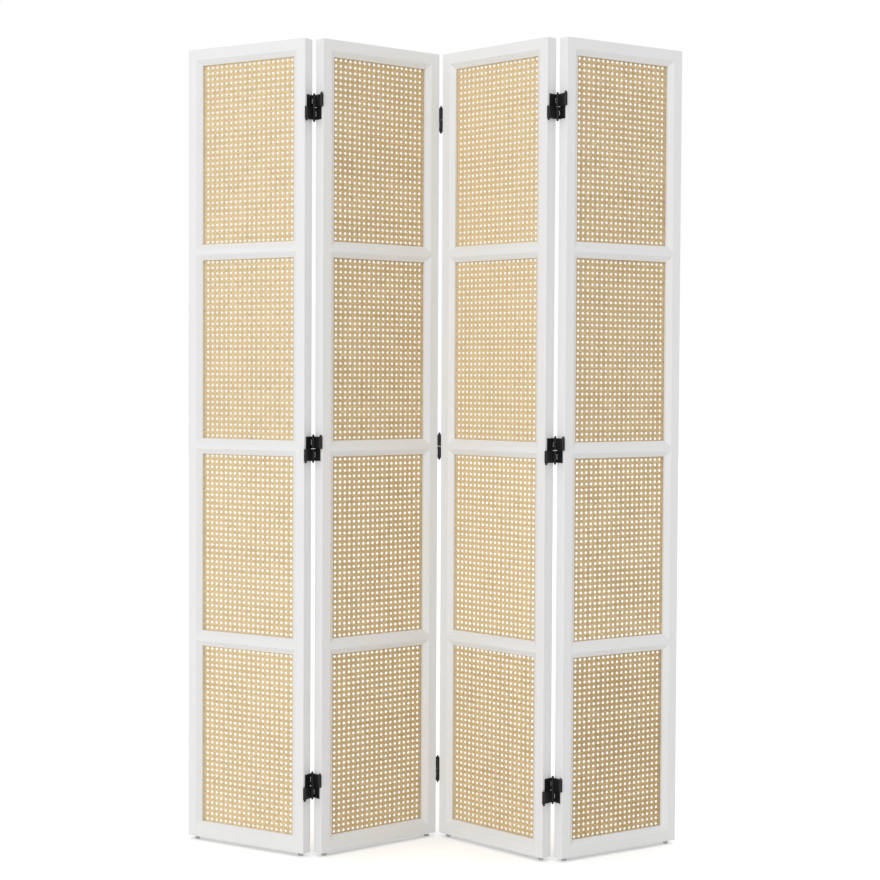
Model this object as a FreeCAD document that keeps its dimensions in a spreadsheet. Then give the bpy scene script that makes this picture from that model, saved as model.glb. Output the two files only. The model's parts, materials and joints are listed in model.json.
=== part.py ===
import FreeCAD, Part
import math
import os
import Sketcher

# A four-panel folding screen: painted wooden frames with bevelled, mitred openings, cane webbing held in rebates
# by beads, and double-action hinges whose crossed links let each pair of panels fold either way.
# Each panel has its own frame: X along its width, Y from its front face to its back face, Z up from its foot.

# Driving dimensions, in millimetres and degrees.
SIZES = {
    # Wooden frames
    "panel_height": 1800.0,
    "panel_width": 325.0,
    "panel_thickness": 28.0,
    "stile_width": 35.0,
    "top_rail_height": 36.5,
    "middle_rail_height": 35.5,
    "bottom_rail_height": 36.0,
    "bevel_width": 12.0,
    "bevel_depth": 8.0,
    "edge_radius": 1.5,
    # Stub tenons of the rails
    "tenon_length": 16.0,
    "tenon_thickness": 7.0,
    "tenon_shoulder": 0.5,
    "tenon_haunch": 12.0,
    "mortise_clearance": 0.1,
    # Cane webbing, and the beads that hold it in its rebate from behind
    "cane_thickness": 1.6,
    "cane_clearance": 1.0,
    "cane_hole": 11.0,
    "rebate_width": 11.0,
    "bead_clearance": 0.2,
    "bead_land": 2.0,
    "bead_mitre_gap": 0.2,
    # Nailed glides
    "glide_height": 8.0,
    "glide_foot_radius": 5.0,
    "glide_head_radius": 6.0,
    "glide_inset": 17.0,
    "glide_nail_radius": 1.2,
    "glide_nail_length": 10.0,
    # Hinges
    "hinge_inset": 149.0,
    "barrel_clearance": 0.4,
    "hinge_axis_offset": 0.4,
    "leaf_thickness": 1.6,
    "leaf_setback": 6.0,
    "link_thickness": 1.8,
    "barrel_radius": 4.0,
    "barrel_relief": 0.5,
    "half_height": 26.5,
    "half_gap": 1.0,
    "link_knuckle_length": 9.9,
    "knuckle_gap": 0.3,
    "pin_radius": 2.0,
    "pin_clearance": 0.05,
    "pin_collar_radius": 3.0,
    "pin_collar_height": 1.0,
    "pin_tip_radius": 2.5,
    # Hinge screws
    "screw_radius": 1.6,
    "screw_head_radius": 3.2,
    "screw_length": 20.0,
    "screw_point_length": 4.0,
    "screw_clearance": 0.05,
    "screw_web": 0.75,
    # Stance: how far each pair of panels is folded, and the turn of the second panel
    "fold_left": 69.7,
    "fold_centre": 84.0,
    "fold_right": 78.6,
    "second_panel_turn": 38.5,
}
PANELS = (1, 2, 3, 4)
SIDES = ("left", "right")
HINGES_PER_JUNCTION = 3
# Holes across and up each sheet of cane: one square hole stands for four holes of the weave.
CANE_HOLES_ACROSS = 10
CANE_HOLES_UP = 16
# How far a cutting outline runs past the wood that it cuts.
OVERRUN = 1.0

doc = FreeCAD.newDocument("folding_screen")
sheet = doc.addObject("Spreadsheet::Sheet", "Sizes")
for row, (alias, number) in enumerate(SIZES.items(), start=1):
    sheet.set("A%d" % row, alias)
    sheet.set("B%d" % row, str(number))
    sheet.setAlias("B%d" % row, alias)
doc.recompute()


class Dim:
    """A size of the sheet, or one worked out from several: its number, and the expression that gives it."""

    def __init__(self, number, text):
        self.number = number
        self.text = text

    def joined(self, other, sign, number):
        other_text = other.text if isinstance(other, Dim) else repr(other)
        return Dim(number, "(%s %s %s)" % (self.text, sign, other_text))

    def __add__(self, other):
        return self.joined(other, "+", self.number + number_of(other))

    def __sub__(self, other):
        return self.joined(other, "-", self.number - number_of(other))

    def __mul__(self, other):
        return self.joined(other, "*", self.number * number_of(other))

    def __truediv__(self, other):
        return self.joined(other, "/", self.number / number_of(other))

    def __neg__(self):
        return Dim(-self.number, "(-1 * %s)" % self.text)


def number_of(value):
    return value.number if isinstance(value, Dim) else value


def root(value):
    return Dim(math.sqrt(value.number), "sqrt(%s)" % value.text)


class Sizes:
    """The sheet's sizes, each as an attribute named by its alias."""


size = Sizes()
for alias in SIZES:
    setattr(size, alias, Dim(float(sheet.get(alias)), "Sizes.%s" % alias))
ZERO = Dim(0.0, "0")


# Places that several pieces share.
shoulder = size.stile_width - size.bevel_width
cane_front = (size.panel_thickness - size.cane_thickness) / 2
cane_back = cane_front + size.cane_thickness
half_thickness = size.panel_thickness / 2
rail_heights = (size.top_rail_height + size.bottom_rail_height + size.middle_rail_height * 3)
opening_height = (size.panel_height - rail_heights) / 4
rail_step = opening_height + size.middle_rail_height
lower_rail_foot = size.bottom_rail_height + opening_height
top_rail_foot = size.panel_height - size.top_rail_height
# Name, foot and top of each rail, from the floor up.
RAILS = [("bottom_rail", ZERO, size.bottom_rail_height)]
for step, name in enumerate(("lower_rail", "middle_rail", "upper_rail")):
    foot = lower_rail_foot + rail_step * step
    RAILS.append((name, foot, foot + size.middle_rail_height))
RAILS.append(("top_rail", top_rail_foot, size.panel_height))
OPENINGS = [(below[2], above[1]) for below, above in zip(RAILS, RAILS[1:])]

# Hinge places, from the middle of the gap between two panels, half way through their thickness.
half_hinge_gap = size.barrel_radius + size.barrel_clearance
barrel_axis = half_thickness + size.hinge_axis_offset
leaf_free_edge = half_thickness - size.leaf_setback
barrel_edge = barrel_axis - size.barrel_radius - size.barrel_relief
# A leaf's plate lies to one side of the axis, where a link's barrel is narrower than across its middle.
plate_offset = half_hinge_gap - size.leaf_thickness
barrel_half_chord = root(size.barrel_radius * size.barrel_radius - plate_offset * plate_offset)
leaf_notch = barrel_axis - barrel_half_chord - size.barrel_relief
half_foot = size.half_gap / 2
half_top = half_foot + size.half_height
leaf_knuckle_length = (size.half_height - size.link_knuckle_length - size.knuckle_gap * 2) / 2
bore_radius = size.pin_radius + size.pin_clearance
pilot_radius = size.screw_radius + size.screw_clearance
screw_row = size.tenon_thickness / 2 + size.mortise_clearance + size.screw_web + pilot_radius
screw_rises = (half_foot + leaf_knuckle_length / 2, half_top - leaf_knuckle_length / 2)
hinge_spread = size.panel_height - size.hinge_inset * 2
hinge_spacing = hinge_spread / (HINGES_PER_JUNCTION - 1)
# The screws of one leaf: above the middle they sit towards the barrel at the back, below it towards the front.
SCREWS = [(screw_row, rise) for rise in screw_rises] + [(-screw_row, -rise) for rise in screw_rises]


def has_hinges(panel, side):
    return (panel, side) not in ((PANELS[0], "left"), (PANELS[-1], "right"))


def from_side(side, distance):
    """The place along a panel's width that lies a distance in from its left or right edge."""
    return distance if side == "left" else size.panel_width - distance


def new_body(label):
    body = doc.addObject("PartDesign::Body", label)
    body.Label = label
    return body


def origin_feature(body, role):
    return next(item for item in body.Origin.OriginFeatures if item.Role == role)


def new_sketch(body, role, offset=ZERO):
    """A sketch on one of the body's origin planes, moved along that plane's normal."""
    sketch = body.newObject("Sketcher::SketchObject", "outline")
    sketch.AttachmentSupport = [(origin_feature(body, role), "")]
    sketch.MapMode = "FlatFace"
    sketch.setExpression("AttachmentOffset.Base.z", offset.text)
    return sketch


def tie_point(sketch, line, point, place):
    """Ties one point of a sketch to its two coordinates."""
    for kind, axis, coordinate in (("DistanceX", -2, place[0]), ("DistanceY", -1, place[1])):
        if coordinate is ZERO:
            sketch.addConstraint(Sketcher.Constraint("PointOnObject", line, point, axis))
            continue
        tie = Sketcher.Constraint(kind, -1, 1, line, point, coordinate.number)
        number = sketch.addConstraint(tie)
        sketch.setExpression("Constraints[%d]" % number, coordinate.text)


def add_outline(sketch, points):
    """Adds a closed outline of straight lines through the points."""
    first = sketch.GeometryCount
    places = [FreeCAD.Vector(x.number, y.number, 0) for x, y in points]
    for start, end in zip(places, places[1:] + places[:1]):
        sketch.addGeometry(Part.LineSegment(start, end), False)
    for index in range(len(points)):
        after = first + (index + 1) % len(points)
        sketch.addConstraint(Sketcher.Constraint("Coincident", first + index, 2, after, 1))
    for index, place in enumerate(points):
        tie_point(sketch, first + index, 1, place)


def add_rectangle(sketch, low_x, high_x, low_y, high_y):
    add_outline(sketch, [(low_x, low_y), (high_x, low_y), (high_x, high_y), (low_x, high_y)])


def add_circle(sketch, x, y, radius):
    middle = FreeCAD.Vector(x.number, y.number, 0)
    line = sketch.addGeometry(Part.Circle(middle, FreeCAD.Vector(0, 0, 1), radius.number), False)
    tie_point(sketch, line, 3, (x, y))
    number = sketch.addConstraint(Sketcher.Constraint("Radius", line, radius.number))
    sketch.setExpression("Constraints[%d]" % number, radius.text)


def add_pad(body, sketch, length, backwards=False):
    pad = body.newObject("PartDesign::Pad", "pad")
    pad.Profile = sketch
    pad.setExpression("Length", length.text)
    pad.Reversed = backwards
    doc.recompute()
    return pad


def add_pocket(body, sketch, depth=None, backwards=False):
    """Cuts an outline to a depth, or right through where no depth is given, and checks that it cuts."""
    volume = body.Shape.Volume
    pocket = body.newObject("PartDesign::Pocket", "pocket")
    pocket.Profile = sketch
    pocket.Reversed = backwards
    if depth is None:
        pocket.Type = "ThroughAll"
    else:
        pocket.setExpression("Length", depth.text)
    doc.recompute()
    if not body.Shape.Volume < volume:
        raise RuntimeError("a pocket of %s cuts nothing" % body.Label)
    return pocket


def add_round(body, kind, role, place, measures):
    """Adds or cuts a cylinder, cone or sphere whose axis is the normal of one of the body's origin planes."""
    shape = body.newObject("PartDesign::" + kind, "round")
    shape.AttachmentSupport = [(origin_feature(body, role), "")]
    shape.MapMode = "FlatFace"
    for axis, coordinate in zip("xyz", place):
        shape.setExpression("AttachmentOffset.Base." + axis, coordinate.text)
    for name, measure in measures.items():
        shape.setExpression(name, measure.text)
    return shape


def add_row(body, role, length, count):
    """Repeats the whole body along one of its axes."""
    doc.recompute()
    row = body.newObject("PartDesign::LinearPattern", "row")
    row.TransformMode = "Whole shape"
    row.Direction = (origin_feature(body, role), [""])
    row.setExpression("Length", length.text)
    row.Occurrences = count
    body.Tip = row


def add_grid(body, pocket, width, across, height, up):
    """Repeats a pocket across and up the body, over a width and a height from the first to the last."""
    grid = body.newObject("PartDesign::LinearPattern", "grid")
    grid.Originals = [pocket]
    grid.Direction = (origin_feature(body, "X_Axis"), [""])
    grid.setExpression("Length", width.text)
    grid.Occurrences = across
    grid.Direction2 = (origin_feature(body, "Z_Axis"), [""])
    grid.setExpression("Length2", height.text)
    grid.Occurrences2 = up
    body.Tip = grid


def ease_edges(body, wanted):
    """Rounds over the edges whose middles the test picks out."""
    pad = body.Tip
    names = []
    for number, edge in enumerate(pad.Shape.Edges, start=1):
        if wanted(edge.CenterOfMass):
            names.append("Edge%d" % number)
    fillet = body.newObject("PartDesign::Fillet", "eased_edges")
    fillet.Base = (pad, names)
    fillet.setExpression("Radius", size.edge_radius.text)
    doc.recompute()


def near(value, *targets):
    return any(abs(value - target.number) < 1e-6 for target in targets)


def on_faces(point):
    return near(point.y, ZERO, size.panel_thickness)


def tenon_span(foot, top):
    """Foot and top of a rail's tenon: clear of the mitres, and of the stile's ends on the top and bottom rails."""
    low = foot + size.bevel_width + size.tenon_shoulder
    high = top - size.bevel_width - size.tenon_shoulder
    if foot is ZERO:
        low = size.tenon_haunch
    if top is size.panel_height:
        high = size.panel_height - size.tenon_haunch
    return low, high


def add_rebates(body, rectangles):
    """Cuts the rebate for the cane and its beads from the back face."""
    sketch = new_sketch(body, "XZ_Plane", -size.panel_thickness)
    for rectangle in rectangles:
        add_rectangle(sketch, *rectangle)
    add_pocket(body, sketch, size.panel_thickness - cane_front, backwards=True)


def make_stile(panel, side):
    """A full-height stile, bevelled towards the openings and notched at 45 degrees for the rails."""
    body = new_body("panel_%d_%s_stile" % (panel, side))
    is_left = side == "left"
    outer = from_side(side, ZERO)
    inner = from_side(side, size.stile_width)
    flat_edge = from_side(side, shoulder)
    rebate_wall = from_side(side, size.stile_width - size.rebate_width)

    section = new_sketch(body, "XY_Plane")
    add_outline(section, [
        (outer, ZERO),
        (flat_edge, ZERO),
        (inner, size.bevel_depth),
        (inner, size.panel_thickness),
        (outer, size.panel_thickness),
    ])
    add_pad(body, section, size.panel_height)

    def on_outside(point):
        on_end = near(point.z, ZERO, size.panel_height)
        on_edge = near(point.x, outer)
        return (on_edge and (on_faces(point) or on_end)) or (on_end and on_faces(point))

    ease_edges(body, on_outside)

    notches = new_sketch(body, "XZ_Plane")
    for name, foot, top in RAILS:
        foot_corner = (flat_edge, foot) if foot is ZERO else (flat_edge, foot + size.bevel_width)
        top_corner = (flat_edge, top) if name == "top_rail" else (flat_edge, top - size.bevel_width)
        add_outline(notches, [(inner, foot), foot_corner, top_corner, (inner, top)])
    add_pocket(body, notches)

    add_rebates(body, [
        (rebate_wall, inner, foot - size.rebate_width, top + size.rebate_width) for foot, top in OPENINGS
    ])

    mortises = new_sketch(body, "YZ_Plane", flat_edge)
    half_mortise = size.tenon_thickness / 2 + size.mortise_clearance
    for name, foot, top in RAILS:
        low, high = tenon_span(foot, top)
        add_rectangle(
            mortises,
            half_thickness - half_mortise,
            half_thickness + half_mortise,
            low - size.mortise_clearance,
            high + size.mortise_clearance,
        )
    add_pocket(body, mortises, size.tenon_length + size.mortise_clearance, backwards=not is_left)

    nail_hole = new_sketch(body, "XY_Plane")
    add_circle(nail_hole, from_side(side, size.glide_inset), half_thickness, size.glide_nail_radius)
    add_pocket(body, nail_hole, size.glide_nail_length, backwards=True)

    if has_hinges(panel, side):
        pilots = new_sketch(body, "YZ_Plane", outer)
        for hinge in range(HINGES_PER_JUNCTION):
            middle = size.hinge_inset + hinge_spacing * hinge
            for across, rise in SCREWS:
                # A leaf on a left edge is the same leaf turned half round, front to back.
                depth = half_thickness - across if is_left else half_thickness + across
                add_circle(pilots, depth, middle + rise, pilot_radius)
        add_pocket(body, pilots, size.screw_length + size.screw_clearance, backwards=is_left)
    return body


def make_rail(panel, name, foot, top):
    """A rail between the stiles: bevelled edges that end in mitres, and a stub tenon at each end."""
    body = new_body("panel_%d_%s" % (panel, name))
    edges = []
    if name != "bottom_rail":
        edges.append((foot, foot + size.bevel_width, foot + size.rebate_width))
    if name != "top_rail":
        edges.append((top, top - size.bevel_width, top - size.rebate_width))

    front = [(ZERO, foot)]
    if name != "bottom_rail":
        front = [(size.bevel_depth, foot), (ZERO, foot + size.bevel_width)]
    if name == "top_rail":
        front += [(ZERO, top)]
    else:
        front += [(ZERO, top - size.bevel_width), (size.bevel_depth, top)]
    section = new_sketch(body, "YZ_Plane", shoulder)
    add_outline(section, front + [(size.panel_thickness, top), (size.panel_thickness, foot)])
    length = size.panel_width - shoulder * 2
    add_pad(body, section, length)
    if name == "top_rail":
        ease_edges(body, lambda point: near(point.z, top) and on_faces(point))
    if name == "bottom_rail":
        ease_edges(body, lambda point: near(point.z, foot) and on_faces(point))

    mitres = new_sketch(body, "XZ_Plane")
    for side in SIDES:
        for edge, flat_edge, rebate_wall in edges:
            flat_corner = from_side(side, shoulder)
            opening_corner = from_side(side, size.stile_width)
            add_outline(mitres, [(flat_corner, edge), (opening_corner, edge), (flat_corner, flat_edge)])
    add_pocket(body, mitres)

    rebate_start = size.stile_width - size.rebate_width
    add_rebates(body, [
        (rebate_start, size.panel_width - rebate_start, edge, rebate_wall) for edge, flat_edge, rebate_wall in edges
    ])

    low, high = tenon_span(foot, top)
    half_tenon = size.tenon_thickness / 2
    for side in SIDES:
        tenon = new_sketch(body, "YZ_Plane", from_side(side, shoulder))
        add_rectangle(tenon, half_thickness - half_tenon, half_thickness + half_tenon, low, high)
        add_pad(body, tenon, size.tenon_length, backwards=side == "left")
    return body


def make_cane(panel):
    """Four sheets of cane webbing, one behind each opening, that reach into the rebate and have a grid of holes."""
    body = new_body("panel_%d_cane" % panel)
    reach = size.rebate_width - size.cane_clearance
    edge = size.stile_width - reach
    foot, top = OPENINGS[0]
    outline = new_sketch(body, "XZ_Plane", -cane_front)
    add_rectangle(outline, edge, size.panel_width - edge, foot - reach, top + reach)
    add_pad(body, outline, size.cane_thickness, backwards=True)

    across = (size.panel_width - size.stile_width * 2) / CANE_HOLES_ACROSS
    up = opening_height / CANE_HOLES_UP
    left = size.stile_width + (across - size.cane_hole) / 2
    low = foot + (up - size.cane_hole) / 2
    hole = new_sketch(body, "XZ_Plane", -cane_front)
    add_rectangle(hole, left, left + size.cane_hole, low, low + size.cane_hole)
    pocket = add_pocket(body, hole)
    add_grid(
        body,
        pocket,
        across * (CANE_HOLES_ACROSS - 1),
        CANE_HOLES_ACROSS,
        up * (CANE_HOLES_UP - 1),
        CANE_HOLES_UP,
    )
    add_row(body, "Z_Axis", rail_step * (len(OPENINGS) - 1), len(OPENINGS))
    return body


def make_beads(panel):
    """Four frames of mitred beads that fill the rebate behind the cane and slope back to each opening."""
    body = new_body("panel_%d_beads" % panel)
    reach = size.rebate_width - size.bead_clearance
    slope = reach - size.bead_land
    left = size.stile_width
    right = size.panel_width - size.stile_width
    foot, top = OPENINGS[0]

    ring = new_sketch(body, "XZ_Plane", -cane_back)
    add_rectangle(ring, left - reach, right + reach, foot - reach, top + reach)
    add_rectangle(ring, left, right, foot, top)
    add_pad(body, ring, size.panel_thickness - cane_back, backwards=True)

    wide = new_sketch(body, "XZ_Plane", -size.panel_thickness)
    add_rectangle(wide, left - slope, right + slope, foot - slope, top + slope)
    narrow = new_sketch(body, "XZ_Plane", size.bevel_depth - size.panel_thickness)
    add_rectangle(narrow, left, right, foot, top)
    funnel = body.newObject("PartDesign::SubtractiveLoft", "sloped_edges")
    funnel.Profile = wide
    funnel.Sections = [narrow]
    funnel.Ruled = True
    doc.recompute()

    mitres = new_sketch(body, "XZ_Plane")
    half_cut = size.bead_mitre_gap * math.sqrt(0.5)
    past = reach + OVERRUN
    for x, outwards in ((left, -1), (right, 1)):
        for z, upwards in ((foot, -1), (top, 1)):
            inside_x = x - OVERRUN * outwards
            inside_z = z - OVERRUN * upwards
            outside_x = x + past * outwards
            outside_z = z + past * upwards
            add_outline(mitres, [
                (inside_x - half_cut, inside_z),
                (inside_x + half_cut, inside_z),
                (outside_x + half_cut, outside_z),
                (outside_x - half_cut, outside_z),
            ])
    add_pocket(body, mitres)
    add_row(body, "Z_Axis", rail_step * (len(OPENINGS) - 1), len(OPENINGS))
    return body


def make_glides(panel):
    """Two nailed glides, one under each stile."""
    body = new_body("panel_%d_glides" % panel)
    add_round(body, "AdditiveCone", "XY_Plane", (size.glide_inset, half_thickness, -size.glide_height), {
        "Radius1": size.glide_foot_radius,
        "Radius2": size.glide_head_radius,
        "Height": size.glide_height,
    })
    add_round(body, "AdditiveCylinder", "XY_Plane", (size.glide_inset, half_thickness, ZERO), {
        "Radius": size.glide_nail_radius,
        "Height": size.glide_nail_length,
    })
    add_row(body, "X_Axis", size.panel_width - size.glide_inset * 2, len(SIDES))
    return body


def make_leaves(label):
    """Three leaves for a right edge: a plate with barrels at the back of its upper half and the front of its lower."""
    body = new_body(label)
    plate = new_sketch(body, "YZ_Plane", -half_hinge_gap)
    knuckle_top = half_foot + leaf_knuckle_length
    upper_knuckle_foot = half_top - leaf_knuckle_length
    upper = [
        (-leaf_free_edge, half_top),
        (barrel_axis, half_top),
        (barrel_axis, upper_knuckle_foot),
        (leaf_notch, upper_knuckle_foot),
        (leaf_notch, knuckle_top),
        (barrel_axis, knuckle_top),
        (barrel_axis, half_foot),
        (leaf_free_edge, half_foot),
    ]
    lower = [(-y, -z) for y, z in upper]
    add_outline(plate, upper + lower)
    add_pad(body, plate, size.leaf_thickness)
    knuckle = {"Radius": size.barrel_radius, "Height": leaf_knuckle_length}
    bore = {"Radius": bore_radius, "Height": size.half_height}
    for axis, feet, bore_foot in (
        (barrel_axis, (half_foot, upper_knuckle_foot), half_foot),
        (-barrel_axis, (-half_top, -knuckle_top), -half_top),
    ):
        for foot in feet:
            add_round(body, "AdditiveCylinder", "XY_Plane", (ZERO, axis, foot), knuckle)
        add_round(body, "SubtractiveCylinder", "XY_Plane", (ZERO, axis, bore_foot), bore)
    countersink = {
        "Radius1": pilot_radius,
        "Radius2": size.screw_head_radius + size.screw_clearance,
        "Height": size.leaf_thickness,
    }
    for across, rise in SCREWS:
        add_round(body, "SubtractiveCone", "YZ_Plane", (across, rise, -half_hinge_gap), countersink)
    add_row(body, "Z_Axis", hinge_spread, HINGES_PER_JUNCTION)
    return body


def make_links(label):
    """Three upper links: a plate down the middle of the gap with a barrel at its front and at its back."""
    body = new_body(label)
    middle = half_foot + size.half_height / 2
    tongue_foot = middle - size.link_knuckle_length / 2
    tongue_top = middle + size.link_knuckle_length / 2
    plate = new_sketch(body, "YZ_Plane", -size.link_thickness / 2)
    front = [
        (-barrel_edge, half_foot),
        (-barrel_edge, tongue_foot),
        (-barrel_axis, tongue_foot),
        (-barrel_axis, tongue_top),
        (-barrel_edge, tongue_top),
        (-barrel_edge, half_top),
    ]
    back = [(-y, z) for y, z in reversed(front)]
    add_outline(plate, front + back)
    add_pad(body, plate, size.link_thickness)
    for axis in (-barrel_axis, barrel_axis):
        knuckle = {"Radius": size.barrel_radius, "Height": size.link_knuckle_length}
        add_round(body, "AdditiveCylinder", "XY_Plane", (ZERO, axis, tongue_foot), knuckle)
        bore = {"Radius": bore_radius, "Height": size.link_knuckle_length}
        add_round(body, "SubtractiveCylinder", "XY_Plane", (ZERO, axis, tongue_foot), bore)
    add_row(body, "Z_Axis", hinge_spread, HINGES_PER_JUNCTION)
    return body


def make_pins(label):
    """The pins of three leaves on a right edge: one up the back and one down the front of each, with round tips."""
    body = new_body(label)
    shaft = {"Radius": size.pin_radius, "Height": size.half_height}
    collar = {"Radius": size.pin_collar_radius, "Height": size.pin_collar_height}
    tip = {"Radius": size.pin_tip_radius}
    tip_middle = half_top + size.pin_collar_height + size.pin_tip_radius * 0.5
    add_round(body, "AdditiveCylinder", "XY_Plane", (ZERO, barrel_axis, half_foot), shaft)
    add_round(body, "AdditiveCylinder", "XY_Plane", (ZERO, barrel_axis, half_top), collar)
    add_round(body, "AdditiveSphere", "XY_Plane", (ZERO, barrel_axis, tip_middle), tip)
    collar_foot = -half_top - size.pin_collar_height
    add_round(body, "AdditiveCylinder", "XY_Plane", (ZERO, -barrel_axis, -half_top), shaft)
    add_round(body, "AdditiveCylinder", "XY_Plane", (ZERO, -barrel_axis, collar_foot), collar)
    add_round(body, "AdditiveSphere", "XY_Plane", (ZERO, -barrel_axis, -tip_middle), tip)
    add_row(body, "Z_Axis", hinge_spread, HINGES_PER_JUNCTION)
    return body


def make_screws(label):
    """The countersunk screws of three leaves on a right edge."""
    body = new_body(label)
    point = {"Radius1": size.screw_radius / 4, "Radius2": size.screw_radius, "Height": size.screw_point_length}
    shank = {"Radius": size.screw_radius, "Height": size.screw_length - size.screw_point_length}
    head = {"Radius1": size.screw_radius, "Radius2": size.screw_head_radius, "Height": size.leaf_thickness}
    end = -half_hinge_gap - size.screw_length
    for across, rise in SCREWS:
        add_round(body, "AdditiveCone", "YZ_Plane", (across, rise, end), point)
        add_round(body, "AdditiveCylinder", "YZ_Plane", (across, rise, end + size.screw_point_length), shank)
        add_round(body, "AdditiveCone", "YZ_Plane", (across, rise, -half_hinge_gap), head)
    add_row(body, "Z_Axis", hinge_spread, HINGES_PER_JUNCTION)
    return body


def turned(x, y, degrees):
    angle = math.radians(degrees)
    return x * math.cos(angle) - y * math.sin(angle), x * math.sin(angle) + y * math.cos(angle)


def stance():
    """The placement of each panel: folded to and fro about the hinges, with the screen's box centred at the origin.

    The first and third junctions fold about their back barrels and the second about its front barrels.
    """
    width = size.panel_width.number
    thickness = size.panel_thickness.number
    beyond = half_hinge_gap.number
    front_axis = -size.hinge_axis_offset.number
    back_axis = thickness - front_axis
    headings = [size.second_panel_turn.number - size.fold_left.number, size.second_panel_turn.number]
    headings.append(headings[1] - size.fold_centre.number)
    headings.append(headings[2] + size.fold_right.number)

    corners = [turned(-width - beyond, -back_axis, headings[0])]
    for panel, axis in enumerate((back_axis, front_axis, back_axis)):
        if panel == 0:
            pivot = (0.0, 0.0)
        else:
            arm = turned(width + beyond, axis, headings[panel])
            pivot = (corners[panel][0] + arm[0], corners[panel][1] + arm[1])
        arm = turned(-beyond, axis, headings[panel + 1])
        corners.append((pivot[0] - arm[0], pivot[1] - arm[1]))

    eased = size.edge_radius.number
    barrel = size.barrel_radius.number
    lows = [math.inf, math.inf]
    highs = [-math.inf, -math.inf]
    for panel, corner, heading in zip(PANELS, corners, headings):
        rounds = [(x, y, eased) for x in (eased, width - eased) for y in (eased, thickness - eased)]
        for side, x in (("left", -beyond), ("right", width + beyond)):
            if has_hinges(panel, side):
                rounds += [(x, front_axis, barrel), (x, back_axis, barrel)]
        for x, y, radius in rounds:
            for axis, place in enumerate(turned(x, y, heading)):
                lows[axis] = min(lows[axis], corner[axis] + place - radius)
                highs[axis] = max(highs[axis], corner[axis] + place + radius)

    placements = {}
    for panel, corner, heading in zip(PANELS, corners, headings):
        x = corner[0] - (lows[0] + highs[0]) / 2
        y = corner[1] - (lows[1] + highs[1]) / 2
        base = FreeCAD.Vector(x, y, size.glide_height.number)
        placements[panel] = FreeCAD.Placement(base, FreeCAD.Rotation(FreeCAD.Vector(0, 0, 1), heading))
    return placements


def hinge_place(panel, side, lowered=0.0, turn=True):
    """Where hinge pieces go on a panel's edge: the middle of the gap at the lowest hinge.

    A leaf, with its pins and screws, is made for a right edge and turned half round for a left one.
    """
    x = from_side(side, -half_hinge_gap).number
    base = FreeCAD.Vector(x, half_thickness.number, size.hinge_inset.number - lowered)
    angle = 180 if turn and side == "left" else 0
    place = FreeCAD.Placement(base, FreeCAD.Rotation(FreeCAD.Vector(0, 0, 1), angle))
    return PLACEMENTS[panel].multiply(place)


PLACEMENTS = stance()
nodes = []


def keep(item, place):
    item.Placement = place
    nodes.append(item)


for panel in PANELS:
    place = PLACEMENTS[panel]
    for side in SIDES:
        keep(make_stile(panel, side), place)
    for name, foot, top in RAILS:
        keep(make_rail(panel, name, foot, top), place)
    keep(make_cane(panel), place)
    keep(make_beads(panel), place)
    keep(make_glides(panel), place)

# The links ride with the panel that they stay still against: at a back fold the upper links move with the right
# panel and the lower links with the left one, and at a front fold it is the other way round.
link_drop = (size.half_height + size.half_gap).number
for panel, folds_back in ((1, True), (2, False), (3, True)):
    junction = "hinges_%d_%d" % (panel, panel + 1)
    keep(make_leaves(junction + "_left_leaves"), hinge_place(panel, "right"))
    keep(make_leaves(junction + "_right_leaves"), hinge_place(panel + 1, "left"))
    left_edge = (panel, "right")
    right_edge = (panel + 1, "left")
    upper_owner, lower_owner = (right_edge, left_edge) if folds_back else (left_edge, right_edge)
    keep(make_links(junction + "_upper_links"), hinge_place(*upper_owner, turn=False))
    keep(make_links(junction + "_lower_links"), hinge_place(*lower_owner, lowered=link_drop, turn=False))

for panel in PANELS:
    for kind, make in (("hinge_pins", make_pins), ("hinge_screws", make_screws)):
        label = "panel_%d_%s" % (panel, kind)
        edges = [side for side in SIDES if has_hinges(panel, side)]
        groups = []
        for side in edges:
            group = make("%s_%s" % (label, side))
            group.Placement = hinge_place(panel, side)
            groups.append(group)
        compound = doc.addObject("Part::Compound", label)
        compound.Label = label
        compound.Links = groups
        nodes.append(compound)

doc.recompute()
for item in doc.Objects:
    if "Invalid" in item.State or "Error" in item.State:
        raise RuntimeError("%s did not build: %s" % (item.Label, item.State))
for item in nodes:
    if item.Shape.isNull() or not item.Shape.isValid() or not item.Shape.Solids:
        raise RuntimeError("%s has no valid solid" % item.Label)

os.makedirs("parts", exist_ok=True)
for item in nodes:
    item.Shape.exportStep("parts/%s.step" % item.Label)
    print("%s: %d solids, %.0f mm3" % (item.Label, len(item.Shape.Solids), item.Shape.Volume))
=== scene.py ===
# %% [markdown]
# # A folding screen with cane panels
# The screen is four tall wooden frames, painted white, that stand in a zig-zag. Each frame has four openings
# filled with woven cane, and black double-action hinges join the frames. The frames, their beads and their
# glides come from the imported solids. This lesson paints those, weaves the cane strand by strand and makes the
# hinges finer.

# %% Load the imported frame
import json
import math

import bpy
import numpy as np
from mathutils import Matrix, Vector


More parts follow.
